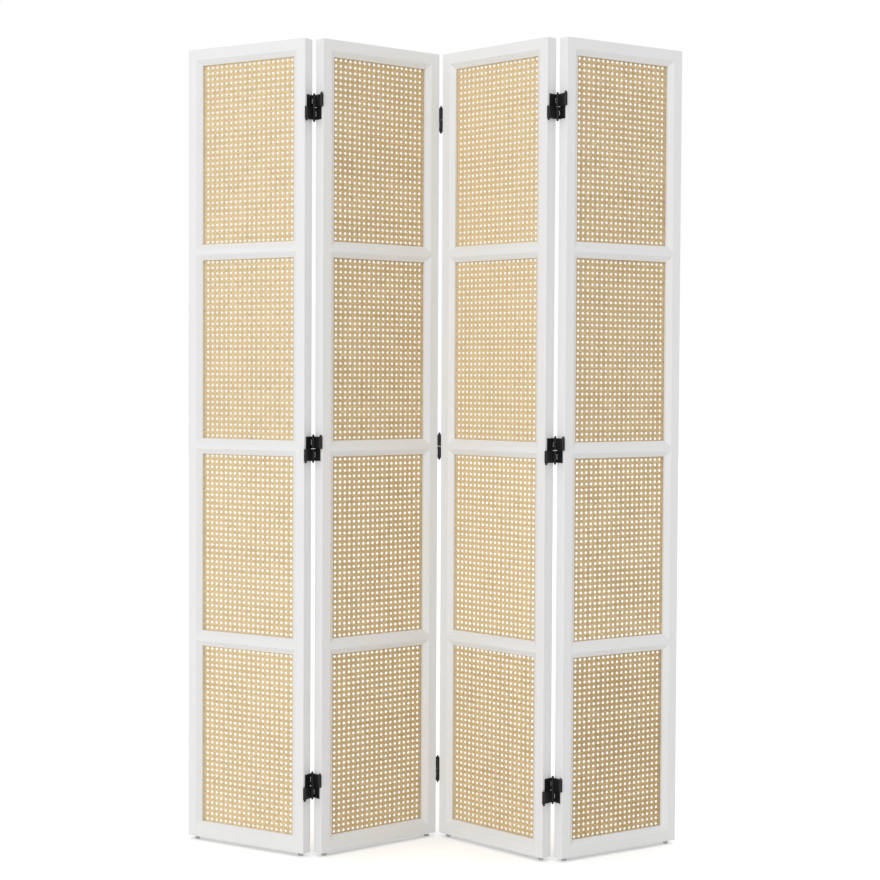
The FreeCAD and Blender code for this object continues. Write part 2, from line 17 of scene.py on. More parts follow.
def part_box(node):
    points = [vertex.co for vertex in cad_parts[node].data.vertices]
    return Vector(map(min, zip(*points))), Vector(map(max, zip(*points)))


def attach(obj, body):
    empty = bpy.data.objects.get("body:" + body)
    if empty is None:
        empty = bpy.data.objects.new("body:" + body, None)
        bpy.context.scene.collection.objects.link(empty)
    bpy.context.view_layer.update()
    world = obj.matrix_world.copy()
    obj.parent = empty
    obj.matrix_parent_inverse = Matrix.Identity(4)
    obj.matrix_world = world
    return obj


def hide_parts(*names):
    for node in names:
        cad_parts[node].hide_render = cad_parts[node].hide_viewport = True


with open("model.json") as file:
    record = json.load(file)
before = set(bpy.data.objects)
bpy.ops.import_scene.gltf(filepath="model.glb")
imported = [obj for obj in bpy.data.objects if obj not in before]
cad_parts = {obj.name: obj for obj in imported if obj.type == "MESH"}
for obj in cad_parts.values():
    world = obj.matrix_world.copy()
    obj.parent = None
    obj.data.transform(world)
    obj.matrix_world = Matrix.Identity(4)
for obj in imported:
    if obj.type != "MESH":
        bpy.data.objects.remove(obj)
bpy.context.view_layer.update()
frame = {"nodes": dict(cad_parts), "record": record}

MM = 0.001

# %% [markdown]
# ## Where the panels stand
# Every piece is made once in a panel's own frame: X along the panel's width, Y from its front to its back,
# and Z up. The record names the two feet of each panel, and a line through them gives the panel's heading, so
# nothing about the stance has to be typed in again.

# %% Panel frames
PANELS = (1, 2, 3, 4)
THICKNESS = 28 * MM
GLIDE_INSET = 17 * MM
UPRIGHT = (0.0, 0.0, 1.0)
feet = {mount["name"]: np.array(mount["pos_m"]) for mount in frame["record"]["mounts"]}
frame_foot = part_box("panel_1_left_stile")[0].z


def panel_axes(panel):
    """Origin and 3 x 3 axes of a panel: its X runs from its left foot to its right foot."""
    left = feet["panel_%d_left_foot" % panel]
    right = feet["panel_%d_right_foot" % panel]
    along = (right - left) / np.linalg.norm(right - left)
    inwards = np.array([-along[1], along[0], 0.0])
    origin = left - along * GLIDE_INSET - inwards * THICKNESS / 2
    origin[2] = frame_foot
    return origin, np.array([along, inwards, UPRIGHT])


AXES = {panel: panel_axes(panel) for panel in PANELS}
WIDTH = np.linalg.norm(feet["panel_1_right_foot"] - feet["panel_1_left_foot"]) + 2 * GLIDE_INSET


def on_panel(points, panel):
    """Carries points from a panel's own frame into the shared frame."""
    origin, axes = AXES[panel]
    return points @ axes + origin


print("panel width %.1f mm" % (WIDTH / MM))

# %% [markdown]
# ## Meshes from arrays
# Each new piece is a set of grids worked out with numpy. A grid that closes on itself round a strand or a pin
# is a tube, and its two ends are closed with a cap. A barrel's grid closes both ways, as a ring. The helpers
# below collect grids into one shell and write it as a mesh.


# %% Shells
class Shell:
    """Vertices and faces of one piece, with a few numbers kept for each vertex."""

    def __init__(self):
        self.points = []
        self.faces = []
        self.marks = {}
        self.count = 0

    def add(self, points, faces, **marks):
        """Adds points (n x 3) and faces, a list of index arrays with one row per face."""
        self.points.append(points)
        self.faces += [block + self.count for block in faces]
        for name, values in marks.items():
            self.marks.setdefault(name, []).append(np.broadcast_to(values, len(points)))
        self.count += len(points)

    def moved(self, carry):
        """The same shell with every point carried by a function."""
        copy = Shell()
        copy.points = [carry(np.concatenate(self.points))]
        copy.faces = self.faces
        copy.marks = self.marks
        copy.count = self.count
        return copy

    def join(self, other):
        """Adds all that another shell holds."""
        self.points += other.points
        self.faces += [block + self.count for block in other.faces]
        for name, values in other.marks.items():
            self.marks.setdefault(name, []).extend(values)
        self.count += other.count


def tube_faces(rows, columns):
    """Faces of a tube of rows x columns points that closes across its columns, with a cap at each end."""
    index = np.arange(rows * columns).reshape(rows, columns)
    after = np.roll(index, -1, axis=1)
    sides = np.stack([index[:-1], after[:-1], after[1:], index[1:]], axis=-1).reshape(-1, 4)
    return [sides, index[0, ::-1][None], index[-1][None]]


def ring_faces(rows, columns):
    """Faces of a ring of rows x columns points that closes both ways."""
    index = np.arange(rows * columns).reshape(rows, columns)
    across = np.roll(index, -1, axis=1)
    corners = [index, across, np.roll(across, -1, axis=0), np.roll(index, -1, axis=0)]
    return [np.stack(corners, axis=-1).reshape(-1, 4)]


print("faces of a tube of 3 x 4 points:", sum(len(block) for block in tube_faces(3, 4)))

# %% Pieces from shells
SHARP_ANGLE = math.radians(38)


def make_piece(name, shell, material, body, nodes):
    """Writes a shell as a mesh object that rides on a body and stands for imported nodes."""
    mesh = bpy.data.meshes.new(name)
    loops = np.concatenate([block.ravel() for block in shell.faces])
    totals = np.concatenate([np.full(len(block), block.shape[1]) for block in shell.faces])
    mesh.vertices.add(shell.count)
    mesh.vertices.foreach_set("co", np.concatenate(shell.points).astype(np.float32).ravel())
    mesh.loops.add(len(loops))
    mesh.loops.foreach_set("vertex_index", loops.astype(np.int32))
    mesh.polygons.add(len(totals))
    mesh.polygons.foreach_set("loop_start", (np.cumsum(totals) - totals).astype(np.int32))
    mesh.polygons.foreach_set("loop_total", totals.astype(np.int32))
    mesh.update(calc_edges=True)
    for mark, values in shell.marks.items():
        attribute = mesh.attributes.new(mark, "FLOAT", "POINT")
        attribute.data.foreach_set("value", np.concatenate(values).astype(np.float32))
    mesh.shade_smooth()
    mesh.set_sharp_from_angle(angle=SHARP_ANGLE)
    mesh.materials.append(material)
    piece = bpy.data.objects.new(name, mesh)
    bpy.context.scene.collection.objects.link(piece)
    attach(piece, body)
    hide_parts(*nodes)
    return piece


print("edges over %.0f degrees stay sharp" % math.degrees(SHARP_ANGLE))

# %% [markdown]
# ## Shader maths
# Finishes are node trees. Written node by node they are hard to read, so a socket is wrapped in a small class
# whose operators add Math nodes, and one method adds any other node with its settings and inputs.


# %% Sockets
class Socket:
    """One output of a node tree that can stand in a Python sum."""

    def __init__(self, nodes, output):
        self.nodes = nodes
        self.output = output

    def math(self, operation, *others):
        """Adds a Math node that takes this value first."""
        values = dict(enumerate((self,) + others))
        return self.nodes.node("ShaderNodeMath", {"operation": operation}, values)

    def held(self):
        """This value, held between 0 and 1."""
        return self.math("MAXIMUM", 0.0).math("MINIMUM", 1.0)

    def __add__(self, other):
        return self.math("ADD", other)

    __radd__ = __add__

    def __mul__(self, other):
        return self.math("MULTIPLY", other)

    __rmul__ = __mul__

    def __sub__(self, other):
        return self.math("SUBTRACT", other)

    def __rsub__(self, other):
        return (self * -1) + other

    def __pow__(self, other):
        return self.math("POWER", other)

    def __abs__(self):
        return self.math("ABSOLUTE")


print("helper:", Socket.__name__)


# %% Node trees and finishes
class Nodes:
    """A node tree that nodes are added to."""

    def __init__(self, tree):
        self.tree = tree

    def node(self, kind, settings, values, output=0):
        """Adds a node: its settings first, then the values or links of its sockets; returns one output."""
        made = self.tree.nodes.new(kind)
        for name, value in settings.items():
            setattr(made, name, value)
        for name, value in values.items():
            self.put(made.inputs[name], value)
        return Socket(self, made.outputs[output])

    def put(self, socket, value):
        """Links a wrapped socket to an input, or sets the input to a plain value."""
        if isinstance(value, Socket):
            self.tree.links.new(value.output, socket)
        else:
            socket.default_value = value

    def seen_directly(self):
        """1 for rays that come straight from the camera, a gloss or a clear surface, and 0 for the rest."""
        kinds = ("Is Camera Ray", "Is Glossy Ray", "Is Transmission Ray")
        camera, gloss, clear = (self.node("ShaderNodeLightPath", {}, {}, kind) for kind in kinds)
        return camera.math("MAXIMUM", gloss).math("MAXIMUM", clear)


class Finish(Nodes):
    """A material built round one Principled BSDF."""

    def __init__(self, name, **constants):
        self.material = bpy.data.materials.new(name)
        self.material.use_nodes = True
        super().__init__(self.material.node_tree)
        self.surface = self.tree.nodes["Principled BSDF"]
        self.set(**constants)

    def set(self, **inputs):
        """Links or sets inputs of the Principled BSDF."""
        for socket, value in inputs.items():
            self.put(self.surface.inputs[socket.replace("_", " ")], value)

    def place(self):
        """The place of a point of the surface, in metres."""
        return self.node("ShaderNodeTexCoord", {}, {}, "Object")

    def along(self, vector, direction):
        """How far a place lies along a direction."""
        values = {0: vector, 1: direction}
        return self.node("ShaderNodeVectorMath", {"operation": "DOT_PRODUCT"}, values, "Value")

    def vector(self, x, y, z):
        """A vector of three values."""
        return self.node("ShaderNodeCombineXYZ", {}, {"X": x, "Y": y, "Z": z})

    def noise(self, vector, scale, detail=2.0, roughness=0.5):
        """Noise from 0 to 1, with a scale in features for each unit of the vector."""
        values = {"Vector": vector, "Scale": scale, "Detail": detail, "Roughness": roughness}
        return self.node("ShaderNodeTexNoise", {}, values, "Fac")

    def mix(self, factor, first, second):
        """Blends two colours."""
        values = {"Factor": factor, 6: first, 7: second}
        return self.node("ShaderNodeMix", {"data_type": "RGBA"}, values, 2)

    def attribute(self, name):
        """A number that the mesh keeps for each vertex."""
        return self.node("ShaderNodeAttribute", {"attribute_name": name}, {}, "Fac")

    def bump(self, height, strength, distance):
        """Tilts the surface's normal by the slope of a height."""
        values = {"Height": height, "Strength": strength, "Distance": distance}
        self.set(Normal=self.node("ShaderNodeBump", {}, values))


print("helpers:", Nodes.__name__, "and", Finish.__name__)

# %% [markdown]
# ## White paint over wood
# The frames are wood under a satin white paint: up close the long grain still shows as faint ridges and a
# slightly warmer streak here and there. A noise that is drawn out along the grain does that. Stiles have
# upright grain, and a rail's grain runs along its own panel, so each panel's rails have a paint of their own.

# %% Painted wood
NOISE_MIDDLE = 0.5
PAINT_LIGHT = (0.855, 0.86, 0.862, 1)
PAINT_WARM = (0.797, 0.793, 0.778, 1)
PAINT_GLOSS = 0.4
PAINT_ROUGHNESS = 0.46
GRAIN_SCALE_ALONG = 6.0
GRAIN_SCALE_ACROSS = 220.0
GRAIN_DETAIL = 4.0
GRAIN_BREAKUP = 0.6
CLOUD_SCALE = 9.0
BRUSH_SCALE = 420.0
GRAIN_STREAKS = 1.6
CLOUD_STREAKS = 0.8
STREAK_START = 0.35
STREAK_STRENGTH = 0.45
GRAIN_DULLING = 0.18
BRUSH_DULLING = 0.06
GRAIN_HEIGHT = 0.8
BRUSH_HEIGHT = 0.25
PAINT_BUMP = 0.22
PAINT_RELIEF = 0.4 * MM


def painted_wood(name, grain, across):
    """White paint: grain noise is long along the grain, short across it and through the thickness.

    Grain and slow clouds together make the warmer streaks. Grain and fine brush marks dull and raise the
    paint.
    """
    paint = Finish(name, Specular_IOR_Level=PAINT_GLOSS)
    place = paint.place()
    through = np.cross(grain, across)
    stretched = paint.vector(
        paint.along(place, tuple(grain)) * GRAIN_SCALE_ALONG,
        paint.along(place, tuple(across)) * GRAIN_SCALE_ACROSS,
        paint.along(place, tuple(through)) * GRAIN_SCALE_ACROSS,
    )
    fibres = paint.noise(stretched, 1.0, GRAIN_DETAIL, GRAIN_BREAKUP)
    swing = fibres - NOISE_MIDDLE
    clouds = paint.noise(place, CLOUD_SCALE) - NOISE_MIDDLE
    brush = paint.noise(place, BRUSH_SCALE)
    streaks = (swing * GRAIN_STREAKS + clouds * CLOUD_STREAKS + STREAK_START).held()
    paint.set(
        Base_Color=paint.mix(streaks * STREAK_STRENGTH, PAINT_LIGHT, PAINT_WARM),
        Roughness=PAINT_ROUGHNESS + swing * GRAIN_DULLING + (brush - NOISE_MIDDLE) * BRUSH_DULLING,
    )
    paint.bump(fibres * GRAIN_HEIGHT + brush * BRUSH_HEIGHT, PAINT_BUMP, PAINT_RELIEF)
    return paint.material


def dress(node_name, material):
    """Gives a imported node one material."""
    materials = frame["nodes"][node_name].data.materials
    materials.clear()
    materials.append(material)


RAILS = ("bottom_rail", "lower_rail", "middle_rail", "upper_rail", "top_rail")
for panel in PANELS:
    along = AXES[panel][1][0]
    stile_paint = painted_wood("stile_paint_%d" % panel, UPRIGHT, along)
    rail_paint = painted_wood("rail_paint_%d" % panel, along, UPRIGHT)
    painted = {"left_stile": stile_paint, "right_stile": stile_paint, "beads": stile_paint}
    painted.update({rail: rail_paint for rail in RAILS})
    for member, paint in painted.items():
        dress("panel_%d_%s" % (panel, member), paint)
print("painted:", len(PANELS) * len(painted), "nodes")

# %% [markdown]
# ## Glides
# Small nailed glides of pale grey plastic keep the stiles off the floor. A fine speckle and a scuffed, duller
# foot are enough at this size.

# %% Glide plastic
GLIDE_LIGHT = (0.58, 0.57, 0.55, 1)
GLIDE_DARK = (0.40, 0.39, 0.38, 1)
GLIDE_GLOSS = 0.35
GLIDE_ROUGHNESS = 0.5
SPECKLE_SCALE = 900.0
SPECKLE_DARKENING = 0.5
SPECKLE_BUMP = 0.15
SPECKLE_RELIEF = 0.1 * MM
SCUFF_DARKENING = 0.4
SCUFF_DULLING = 0.25


def glide_plastic():
    """Grey plastic with a speckle, scuffed from nothing at the glide's top to most at the floor."""
    plastic = Finish("glide_plastic", Specular_IOR_Level=GLIDE_GLOSS)
    place = plastic.place()
    speckle = plastic.noise(place, SPECKLE_SCALE)
    height = plastic.along(place, UPRIGHT)
    scuffed = (1.0 - height * (1.0 / frame_foot)).math("MAXIMUM", 0.0)
    darkness = speckle * SPECKLE_DARKENING + scuffed * SCUFF_DARKENING
    plastic.set(
        Base_Color=plastic.mix(darkness, GLIDE_LIGHT, GLIDE_DARK),
        Roughness=GLIDE_ROUGHNESS + scuffed * SCUFF_DULLING,
    )
    plastic.bump(speckle, SPECKLE_BUMP, SPECKLE_RELIEF)
    return plastic.material


glide_finish = glide_plastic()
for panel in PANELS:
    dress("panel_%d_glides" % panel, glide_finish)
print("glides:", len(PANELS), "nodes")

# %% [markdown]
# ## Cane
# Six-way cane webbing has pairs of upright strands, pairs of level strands, and single strands on both
# diagonals. The diagonals run midway between the crossings of the pairs, so every opening of the web is an
# eight-sided hole. An image of the weave would look flat from the side, so each strand is a thin lens-shaped
# ribbon that goes over and under the others, and the holes are real.

# %% Cane sizes
PITCH = 12.7 * MM
PAIR_SPREAD = 1.7 * MM
PAIR_WIDTH = 3.2 * MM
DIAGONAL_WIDTH = 3.5 * MM
STRAND_THICKNESS = 0.46 * MM
PAIR_RISE = 0.27 * MM
DIAGONAL_RISE = 0.5 * MM
STILE_WIDTH = 35 * MM
CANE_REACH = 10 * MM
cane_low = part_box("panel_1_bottom_rail")[1].z - CANE_REACH
cane_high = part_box("panel_1_lower_rail")[0].z + CANE_REACH
SHEET_WIDTH = WIDTH - 2 * STILE_WIDTH + 2 * CANE_REACH
SHEET_HEIGHT = cane_high - cane_low
# Pulled tight across the frame, columns lie a little farther apart than rows. A sheet's weave lies a little
# off its place in the opening, and its rows bow a little.
STRETCH = 1.025
COLUMN_SHIFT = PITCH / 2
LAYOUT_SLACK = 0.1 * PITCH
ROW_BOW = 1.2 * MM
print("a cane sheet: %.0f x %.0f mm" % (SHEET_WIDTH / MM, SHEET_HEIGHT / MM))

# %% One strand
FLAT_SHARE = 0.27
END_SHARE = 0.1
SECTION_EDGES = np.array([-0.5, 0.0, 0.5, 0.0])
SECTION_CROWNS = np.array([0.0, 0.5, 0.0, -0.5])
shuffle = np.random.default_rng(7)


def strand(shell, start, end, stations, heights, width):
    """A strand from start to end: a lens-shaped section carried along the stations.

    Stations are shares of the way from start to end. The section's four corners are its two edges, half a
    width to each side, and its crown and its back, half a thickness in front of and behind the middle.
    """
    length = np.linalg.norm(end - start)
    along = (end - start) / length
    side = np.array([along[1], -along[0]])
    middles = start + stations[:, None] * (end - start)
    edges = SECTION_EDGES * width
    flat = middles[:, None, :] + edges[:, None] * side
    lift = heights[:, None] + SECTION_CROWNS * STRAND_THICKNESS
    # The sheet's own axes are width, depth towards the back, and height.
    points = np.stack([flat[..., 0], -lift, flat[..., 1]], axis=-1).reshape(-1, 3)
    corners = len(edges)
    shell.add(
        points,
        tube_faces(len(stations), corners),
        strand_tone=shuffle.random(),
        strand_across=np.tile(edges / width * 2, len(stations)),
        strand_along=np.repeat(stations * length, corners) + shuffle.random(),
    )


def alternating(number):
    """1 for an even number and -1 for an odd one."""
    return 1.0 - 2.0 * (number % 2)


def wave(low, high, step, phase):
    """Stations from low to high, two at each crossing so that a strand lies flat over it, and their signs.

    Crossings lie at (k + phase) steps, and the sign turns over from each crossing to the next.
    """
    first = math.floor(low / step - phase) - 1
    count = math.ceil((high - low) / step) + 4
    number = np.arange(first, first + count)
    places = (number[:, None] + phase + np.array([-FLAT_SHARE, FLAT_SHARE])) * step
    signs = np.repeat(alternating(number), 2)
    places = places.ravel()
    inside = (places > low + END_SHARE * step) & (places < high - END_SHARE * step)
    ends = np.interp([low, high], places, signs)
    return (np.concatenate([[low], places[inside], [high]]),
            np.concatenate([ends[:1], signs[inside], ends[1:]]))


print("stations along an upright strand:", len(wave(0.0, SHEET_HEIGHT, PITCH, 0.0)[0]))

# %% [markdown]
# The crossings repeat every pitch. Upright and level pairs take turns to go over at their crossings, which
# gives a wave of two pitches. A diagonal goes over each upright pair and under each level pair, or the other
# way round for the other diagonal. Sheets are cut from a roll and stretched by hand, so each has its own
# layout and its rows bow a little.


# %% Weave one sheet
def clipped(middle, slope, half):
    """Where the line across = middle + slope x height enters and leaves a sheet."""
    reach = half[1] * abs(slope)
    return max(-half[0], middle - reach), min(half[0], middle + reach)


def weave_pairs(shell, half, layout):
    """Upright pairs, then level pairs: two straight strands on either side of each whole pitch."""
    for axis, first_turn in ((0, 1.0), (1, -1.0)):
        reach = half[1 - axis]
        most = int(half[axis] / PITCH) + 1
        number = np.arange(-most, most + 1)
        number = number[np.abs(number * PITCH + layout[axis]) < half[axis] - 2 * PAIR_SPREAD]
        stations, signs = wave(-reach, reach, PITCH, layout[1 - axis] / PITCH)
        shares = (stations + reach) / (2 * reach)
        for k in number:
            heights = signs * (alternating(k) * first_turn) * PAIR_RISE
            for spread in (-PAIR_SPREAD, PAIR_SPREAD):
                ends = np.zeros((2, 2))
                ends[:, axis] = k * PITCH + layout[axis] + spread
                ends[:, 1 - axis] = (-reach, reach)
                strand(shell, ends[0], ends[1], shares, heights, PAIR_WIDTH)


def weave_diagonals(shell, half, layout):
    """Single strands both ways, half a pitch off the crossings, so they cross a pair at every half pitch."""
    span = int((half[0] + half[1]) / PITCH) + 1
    for slope in (1.0, -1.0):
        for k in range(-span, span + 1):
            middle = (k + 0.5) * PITCH + layout[0] - slope * layout[1]
            low, high = clipped(middle, slope, half)
            if high - low < PITCH:
                continue
            places, signs = wave(low, high, PITCH / 2, layout[0] / (PITCH / 2))
            shares = (places - low) / (high - low)
            ends = np.array([[x, (x - middle) * slope] for x in (low, high)])
            strand(shell, ends[0], ends[1], shares, signs * slope * DIAGONAL_RISE, DIAGONAL_WIDTH)


def bowed(points, half):
    """Rows bow up or down and columns to a side: most in the middle of the sheet, not at all at its edges.

    The bowed sheet is then stretched across.
    """
    bow = shuffle.uniform(-ROW_BOW, ROW_BOW, 2)
    quarter = math.pi / 2
    share = np.cos(points[:, 0] / half[0] * quarter) * np.cos(points[:, 2] / half[1] * quarter)
    return (points + share[:, None] * np.array([bow[0], 0.0, bow[1]])) * (STRETCH, 1.0, 1.0)


def weave_sheet():
    """One sheet of webbing, centred on its middle: four families of strands clipped to the sheet's edges.

    Crossings of the pairs lie at whole pitches from the layout's own place, and holes half a pitch off them.
    """
    shell = Shell()
    half = np.array([SHEET_WIDTH / STRETCH, SHEET_HEIGHT]) / 2
    layout = shuffle.uniform(-LAYOUT_SLACK, LAYOUT_SLACK, 2) + (COLUMN_SHIFT, 0.0)
    weave_pairs(shell, half, layout)
    weave_diagonals(shell, half, layout)
    return shell.moved(lambda points: bowed(points, half))


print("a woven sheet: %d vertices" % weave_sheet().count)

# %% [markdown]
# Cane is the shiny skin of rattan: honey coloured, with fine fibres along each strand, darker at the strand's
# edges, and no two strands quite the same tone. The strands carry their own numbers for that: a tone, a place
# across and a place along. Each panel's cane also gets painted light and shade: lighter on the panels that
# face the lamp, darker on the others, and a painted shade on the lowest sheets of the last two panels.

# %% Cane finish
CANE_LIGHT = (0.83, 0.65, 0.37, 1)
CANE_DARK = (0.53, 0.365, 0.165, 1)
CANE_EDGE = (0.36, 0.23, 0.095, 1)
CANE_GLOSS = 0.45
CANE_ROUGHNESS = 0.42
FIBRES_ACROSS = 5.0
FIBRES_ALONG = 60.0
FIBRES_APART = 40.0
FIBRE_DETAIL = 3.0
FIBRE_BREAKUP = 0.6
PATCH_SCALE = 14.0
TONE_SHADE = 0.6
FIBRE_SHADE = 0.5
PATCH_SHADE = 0.5
SHADE_START = 0.4
EDGE_POWER = 4.0
EDGE_SHADE = 0.5
FIBRE_DULLING = 0.2
FIBRE_BUMP = 0.3
FIBRE_RELIEF = 0.1 * MM


def natural_cane():
    """Honey-coloured cane: tone, fibres, patches and painted light and shade add up to a shade from light to
    dark.

    The edge colour grows with a power of the distance from the strand's middle.
    """
    cane = Finish("natural_cane", Specular_IOR_Level=CANE_GLOSS)
    tone = cane.attribute("strand_tone")
    across = cane.attribute("strand_across")
    along = cane.attribute("strand_along")
    # Painted light and shade for each sheet: lighter on panels that face the lamp, darker on those in shade.
    roll = cane.attribute("painted_light_shade")
    on_strand = cane.vector(across * FIBRES_ACROSS, along * FIBRES_ALONG, tone * FIBRES_APART)
    fibres = cane.noise(on_strand, 1.0, FIBRE_DETAIL, FIBRE_BREAKUP)
    patches = cane.noise(cane.place(), PATCH_SCALE)
    shade = tone * TONE_SHADE + fibres * FIBRE_SHADE + patches * PATCH_SHADE + roll - SHADE_START
    body = cane.mix(shade.held(), CANE_LIGHT, CANE_DARK)
    edge = abs(across) ** EDGE_POWER
    cane.set(
        Base_Color=cane.mix(edge * EDGE_SHADE, body, CANE_EDGE),
        Roughness=CANE_ROUGHNESS + fibres * FIBRE_DULLING,
    )
    cane.bump(fibres, FIBRE_BUMP, FIBRE_RELIEF)
    return cane.material


cane_finish = natural_cane()
print("finish:", cane_finish.name)

# %% Hang the sheets
# Painted light and shade: the panels that face the lamp get lighter cane, the others darker.
PANEL_PAINTED_LIGHT = {1: -0.27, 2: 0.0, 3: -0.35, 4: 0.07}
# Painted shade on the lowest sheets of the last two panels, where less light reaches near the floor.
LOW_SHEETS_IN_PAINTED_SHADE = ((3, 1), (4, 1))
LOW_SHEET_PAINTED_SHADE = 0.32
OPENINGS = tuple(zip(RAILS, RAILS[1:]))
cane_meshes = []
for panel in PANELS:
    for number, (below, above) in enumerate(OPENINGS, start=1):
        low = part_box("panel_%d_%s" % (panel, below))[1].z
        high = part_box("panel_%d_%s" % (panel, above))[0].z
        middle = np.array([WIDTH / 2, THICKNESS / 2, (low + high) / 2 - frame_foot])
        sheet = weave_sheet().moved(lambda points: on_panel(points + middle, panel))
        # Each sheet's painted light and shade, kept for every vertex.
        painted_light_shade = PANEL_PAINTED_LIGHT[panel] + LOW_SHEET_PAINTED_SHADE * ((panel, number) in LOW_SHEETS_IN_PAINTED_SHADE)
        sheet.marks["painted_light_shade"] = [np.full(sheet.count, painted_light_shade)]
        piece = make_piece("panel_%d_cane_sheet_%d" % (panel, number), sheet, cane_finish,
                           "panel_%d" % panel, ["panel_%d_cane" % panel])
        cane_meshes.append(piece.data)
triangles = sum(len(mesh.loops) - 2 * len(mesh.polygons) for mesh in cane_meshes)
print("cane sheets:", len(cane_meshes), "triangles:", triangles)

# %% [markdown]
# ## Hinges
# A double-action hinge lets two panels fold either way. Each leaf is a plate on the end of a stile, with
# barrels at the back of its upper half and at the front of its lower half, or the other way round. Two links
# cross between the leaves: one joins the back of one leaf to the front of the other, and the other does the
# opposite. Each link turns on a pin with a ball tip at either edge. A plate is an outline carried through its
# thickness with eased edges, and barrels, pins and screws are turned profiles.

# %% Hinge sizes
HINGE_INSET = 149 * MM
HINGE_ROWS = 3
BARREL_RADIUS = 4.0 * MM
BARREL_CLEARANCE = 0.4 * MM
AXIS_OFFSET = 0.4 * MM
LEAF_THICKNESS = 1.6 * MM
LEAF_SETBACK = 6.0 * MM
LINK_THICKNESS = 1.8 * MM
BARREL_RELIEF = 0.25 * MM
HALF_HEIGHT = 26.5 * MM
HALF_GAP = 1.0 * MM
LINK_KNUCKLE = 9.9 * MM
KNUCKLE_GAP = 0.3 * MM
BORE_RADIUS = 2.05 * MM
EASE = 0.35 * MM
TURNED_SIDES = 28
half_hinge_gap = BARREL_RADIUS + BARREL_CLEARANCE
barrel_axis = THICKNESS / 2 + AXIS_OFFSET
free_edge = THICKNESS / 2 - LEAF_SETBACK
barrel_edge = barrel_axis - BARREL_RADIUS - BARREL_RELIEF
leaf_face = half_hinge_gap - LEAF_THICKNESS
leaf_notch = barrel_axis - math.sqrt(BARREL_RADIUS**2 - leaf_face**2) - BARREL_RELIEF
half_foot = HALF_GAP / 2
half_top = half_foot + HALF_HEIGHT
leaf_knuckle = (HALF_HEIGHT - LINK_KNUCKLE - 2 * KNUCKLE_GAP) / 2
panel_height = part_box("panel_1_left_stile")[1].z - frame_foot
HINGE_RISES = np.linspace(HINGE_INSET, panel_height - HINGE_INSET, HINGE_ROWS)
print("hinges at", (HINGE_RISES / MM).round(1), "mm up the panels")


# %% Plates and turned shapes
def plate(shell, outline, low, high):
    """An outline in Y and Z carried through a thickness along X, drawn in by the ease at both faces."""
    outline = np.array(outline)
    before = np.roll(outline, 1, axis=0) - outline
    after = np.roll(outline, -1, axis=0) - outline
    unit_before = before / np.linalg.norm(before, axis=1)[:, None]
    unit_after = after / np.linalg.norm(after, axis=1)[:, None]
    # At a square corner the sum of the two unit edges points inwards, or outwards at an inner corner.
    turn = unit_after[:, 0] * unit_before[:, 1] - unit_after[:, 1] * unit_before[:, 0]
    inwards = (unit_before + unit_after) * np.sign(turn)[:, None]
    drawn = outline + inwards * EASE
    rows = [(low, drawn), (low + EASE, outline), (high - EASE, outline), (high, drawn)]
    points = np.concatenate([np.column_stack([np.full(len(edge), x), edge]) for x, edge in rows])
    shell.add(points, tube_faces(len(rows), len(outline)))


def turned(profile, place, axis="Z", sides=TURNED_SIDES):
    """A profile of radius and height turned about an upright axis, or about X."""
    profile = np.array(profile)
    angle = np.arange(sides) * 2 * math.pi / sides
    radius = profile[:, :1]
    heights = np.broadcast_to(profile[:, 1:], (len(profile), sides))
    around = [radius * np.cos(angle), radius * np.sin(angle), heights]
    order = (0, 1, 2) if axis == "Z" else (2, 0, 1)
    return np.stack([around[k] for k in order], axis=-1).reshape(-1, 3) + np.array(place)


def barrel(shell, y, foot, length):
    """A rolled barrel: a ring-shaped section turned about its pin, with eased rims."""
    top = foot + length
    section = [
        (BORE_RADIUS, foot),
        (BARREL_RADIUS - EASE, foot),
        (BARREL_RADIUS, foot + EASE),
        (BARREL_RADIUS, top - EASE),
        (BARREL_RADIUS - EASE, top),
        (BORE_RADIUS, top),
    ]
    shell.add(turned(section, (0.0, y, 0.0)), ring_faces(len(section), TURNED_SIDES))


print("turned shapes have", TURNED_SIDES, "sides")


# %% Leaves and links of one hinge
def leaf_shell():
    """A leaf for a right-hand edge, in the hinge's own frame: X across the gap, Y through the panel, Z up."""
    shell = Shell()
    upper_knuckle = half_top - leaf_knuckle
    upper = [
        (-free_edge, half_top),
        (barrel_axis, half_top),
        (barrel_axis, upper_knuckle),
        (leaf_notch, upper_knuckle),
        (leaf_notch, half_foot + leaf_knuckle),
        (barrel_axis, half_foot + leaf_knuckle),
        (barrel_axis, half_foot),
        (free_edge, half_foot),
    ]
    lower = [(-y, -z) for y, z in upper]
    plate(shell, (upper + lower)[::-1], -half_hinge_gap, -half_hinge_gap + LEAF_THICKNESS)
    for foot in (half_foot, upper_knuckle):
        barrel(shell, barrel_axis, foot, leaf_knuckle)
        barrel(shell, -barrel_axis, -foot - leaf_knuckle, leaf_knuckle)
    return shell


def link_shell(foot):
    """A link plate in the middle of the gap, with a barrel at its front and at its back."""
    shell = Shell()
    top = foot + HALF_HEIGHT
    tongue_foot = (foot + top - LINK_KNUCKLE) / 2
    tongue_top = tongue_foot + LINK_KNUCKLE
    front = [
        (-barrel_edge, foot),
        (-barrel_edge, tongue_foot),
        (-barrel_axis, tongue_foot),
        (-barrel_axis, tongue_top),
        (-barrel_edge, tongue_top),
        (-barrel_edge, top),
    ]
    back = [(-y, z) for y, z in reversed(front)]
    plate(shell, (front + back)[::-1], -LINK_THICKNESS / 2, LINK_THICKNESS / 2)
    for y in (-barrel_axis, barrel_axis):
        barrel(shell, y, tongue_foot, LINK_KNUCKLE)
    return shell


leaf = leaf_shell()
upper_link = link_shell(half_foot)
lower_link = link_shell(-half_top)
print("leaf: %d vertices, link: %d vertices" % (leaf.count, upper_link.count))

